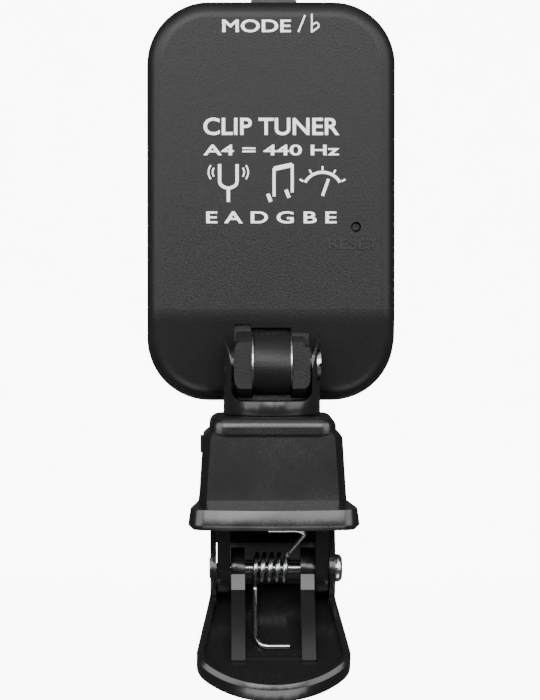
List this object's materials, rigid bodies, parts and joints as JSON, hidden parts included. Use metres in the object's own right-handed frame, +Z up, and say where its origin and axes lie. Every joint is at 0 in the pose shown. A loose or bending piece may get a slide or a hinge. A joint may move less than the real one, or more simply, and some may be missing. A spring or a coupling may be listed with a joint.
{
  "type": "clip-on tuner",
  "caption": "Clip-on tuner: a flat display head on a tilt and swivel fork above a sprung clip with two rubber-padded jaws.",
  "frame": {"origin": "middle of the upper jaw pad's gripping face", "axes": "+Z up, square to the gripping face; +Y from the handles to the jaw tips; +X to the right seen from the back"},
  "size_m": [0.0374, 0.0433, 0.1019],
  "materials": {
    "satin_black": "fine satin grain, injection moulded",
    "gloss_black": "smooth moulded",
    "pad_rubber": "matt, grooved",
    "tinted_window": "polished smoked acrylic",
    "display_glass": "polished",
    "clear_guide": "frosted clear",
    "board_green": "solder mask",
    "chip_black": "moulded",
    "cell_foil": "laminated foil pouch",
    "bright_steel": "bright nickel plated",
    "disc_brass": "plain"
  },
  "bodies": {
    "clip_upper": {"upper_arm": "satin_black", "upper_pad": "pad_rubber", "riser_housing": "satin_black", "riser_screws": "bright_steel", "pivot_pin": "bright_steel", "torsion_spring": "bright_steel"},
    "clip_lower": {"lower_arm": "satin_black", "lower_pad": "pad_rubber"},
    "swivel": {"swivel_fork": "satin_black", "swivel_screw": "bright_steel", "swivel_washer": "bright_steel", "wave_washer": "bright_steel", "hinge_screw": "bright_steel", "hinge_nut": "bright_steel", "hinge_drum": "satin_black", "friction_discs": "bright_steel", "ear_washers": "satin_black"},
    "head": {"rear_case": "satin_black", "front_case": "satin_black", "window": "tinted_window", "display_panel": "display_glass", "light_guide": "clear_guide", "contact_strips": "pad_rubber", "main_board": "board_green", "board_screws": "bright_steel", "processor": "chip_black", "battery_cell": "cell_foil", "battery_foam": "pad_rubber", "battery_tabs": "bright_steel", "usb_socket": "bright_steel", "piezo_disc": "disc_brass", "piezo_contacts": "disc_brass", "mode_switch": "chip_black", "reset_switch": "chip_black", "power_switch": "chip_black"},
    "mode_key": {"mode_button": "gloss_black", "mode_plunger": "chip_black"},
    "reset_key": {"reset_plunger": "chip_black"},
    "power_key": {"power_button": "gloss_black"}
  },
  "joints": [
    {"name": "clip_open", "type": "hinge", "parent": "clip_upper", "child": "clip_lower", "pos_m": [0, -0.019, 0], "axis": [-1, 0, 0], "range_deg": [0, 40], "stiffness_Nm_per_rad": 0.08, "springref_deg": -57.3, "deforming": ["torsion_spring"]},
    {"name": "head_swivel", "type": "hinge", "parent": "clip_upper", "child": "swivel", "pos_m": [0, -0.014, 0.0224], "axis": [0, 0, 1], "range_deg": [-170, 170]},
    {"name": "head_tilt", "type": "hinge", "parent": "swivel", "child": "head", "pos_m": [0, -0.014, 0.0296], "axis": [1, 0, 0], "range_deg": [-5, 95]},
    {"name": "mode_press", "type": "slide", "parent": "head", "child": "mode_key", "axis": [0, 0, -1], "range_m": [0, 0.0005], "stiffness_N_per_m": 100, "springref_m": -0.005},
    {"name": "reset_press", "type": "slide", "parent": "head", "child": "reset_key", "axis": [0, 1, 0], "range_m": [0, 0.00025], "stiffness_N_per_m": 100, "springref_m": -0.003},
    {"name": "power_press", "type": "slide", "parent": "head", "child": "power_key", "axis": [0, -1, 0], "range_m": [0, 0.0004], "stiffness_N_per_m": 100, "springref_m": -0.005}
  ]
}
